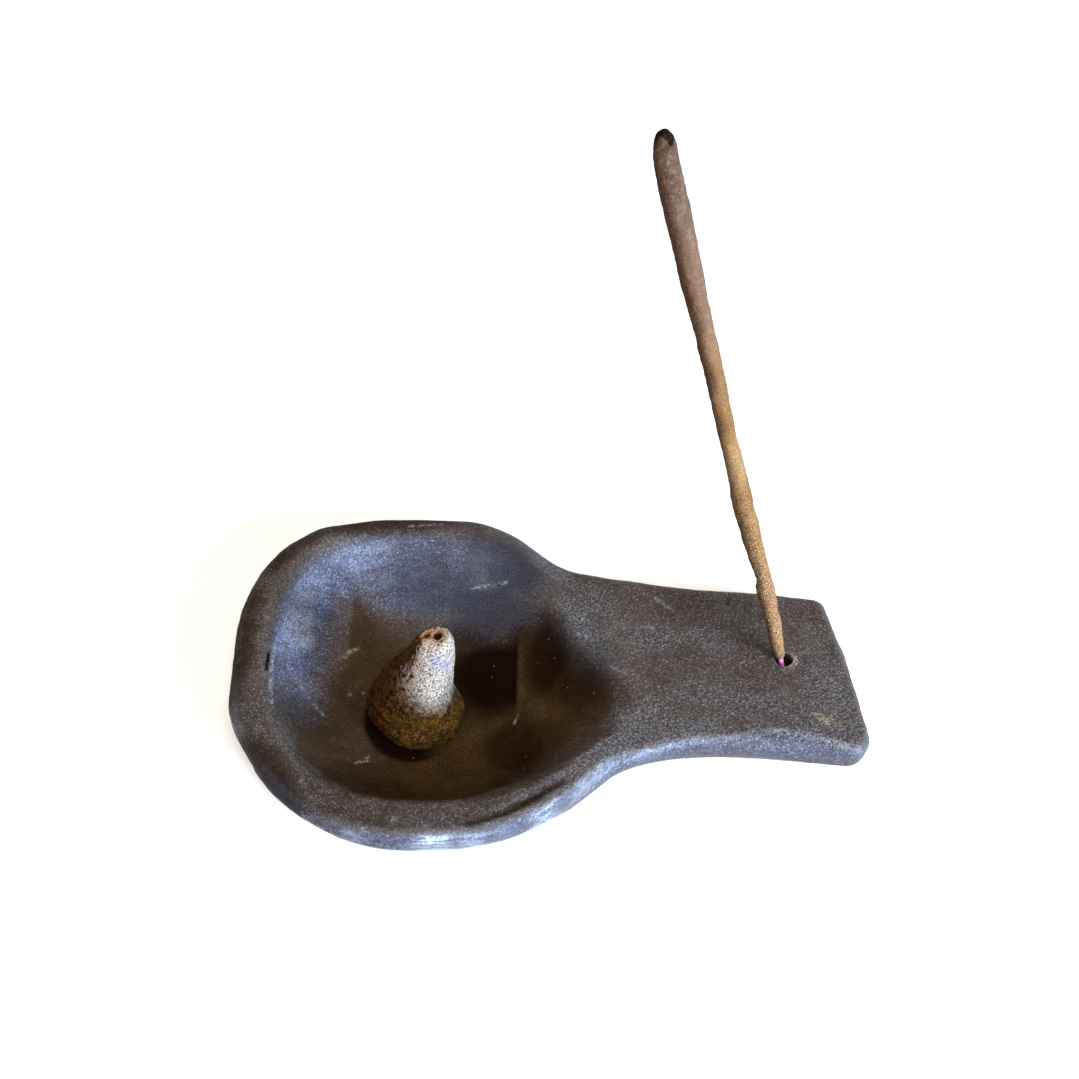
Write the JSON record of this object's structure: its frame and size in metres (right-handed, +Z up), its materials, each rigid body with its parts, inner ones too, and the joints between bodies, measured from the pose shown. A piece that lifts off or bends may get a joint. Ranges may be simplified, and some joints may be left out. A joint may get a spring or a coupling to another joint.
{
  "type": "incense burner",
  "caption": "Spoon-shaped hand-formed clay incense burner: a shallow bowl with an incense cone and a flat handle whose round hole holds a leaning incense stick.",
  "frame": {"origin": "on the table, on the flat underside, below the middle of the bowl", "axes": "+X from the bowl's middle along the handle, +Z up, so the bowl's near side as pictured is -Y"},
  "size_m": [0.1227, 0.0774, 0.1177],
  "materials": {
    "clay": "satin",
    "dyed_bamboo": "matte",
    "stick_incense": "matte",
    "cone_incense": "matte"
  },
  "bodies": {
    "dish": {"dish": "clay"},
    "stick": {"stick_core": "dyed_bamboo", "stick_paste": "stick_incense"},
    "cone": {"incense_cone": "cone_incense"}
  },
  "joints": [
    {"name": "stick_pull", "type": "slide", "parent": "dish", "child": "stick", "axis": [-0.2823, 0, 0.9593], "range_m": [0, 0.03]},
    {"name": "cone_lift", "type": "slide", "parent": "dish", "child": "cone", "axis": [0, 0, 1], "range_m": [0, 0.03]}
  ]
}
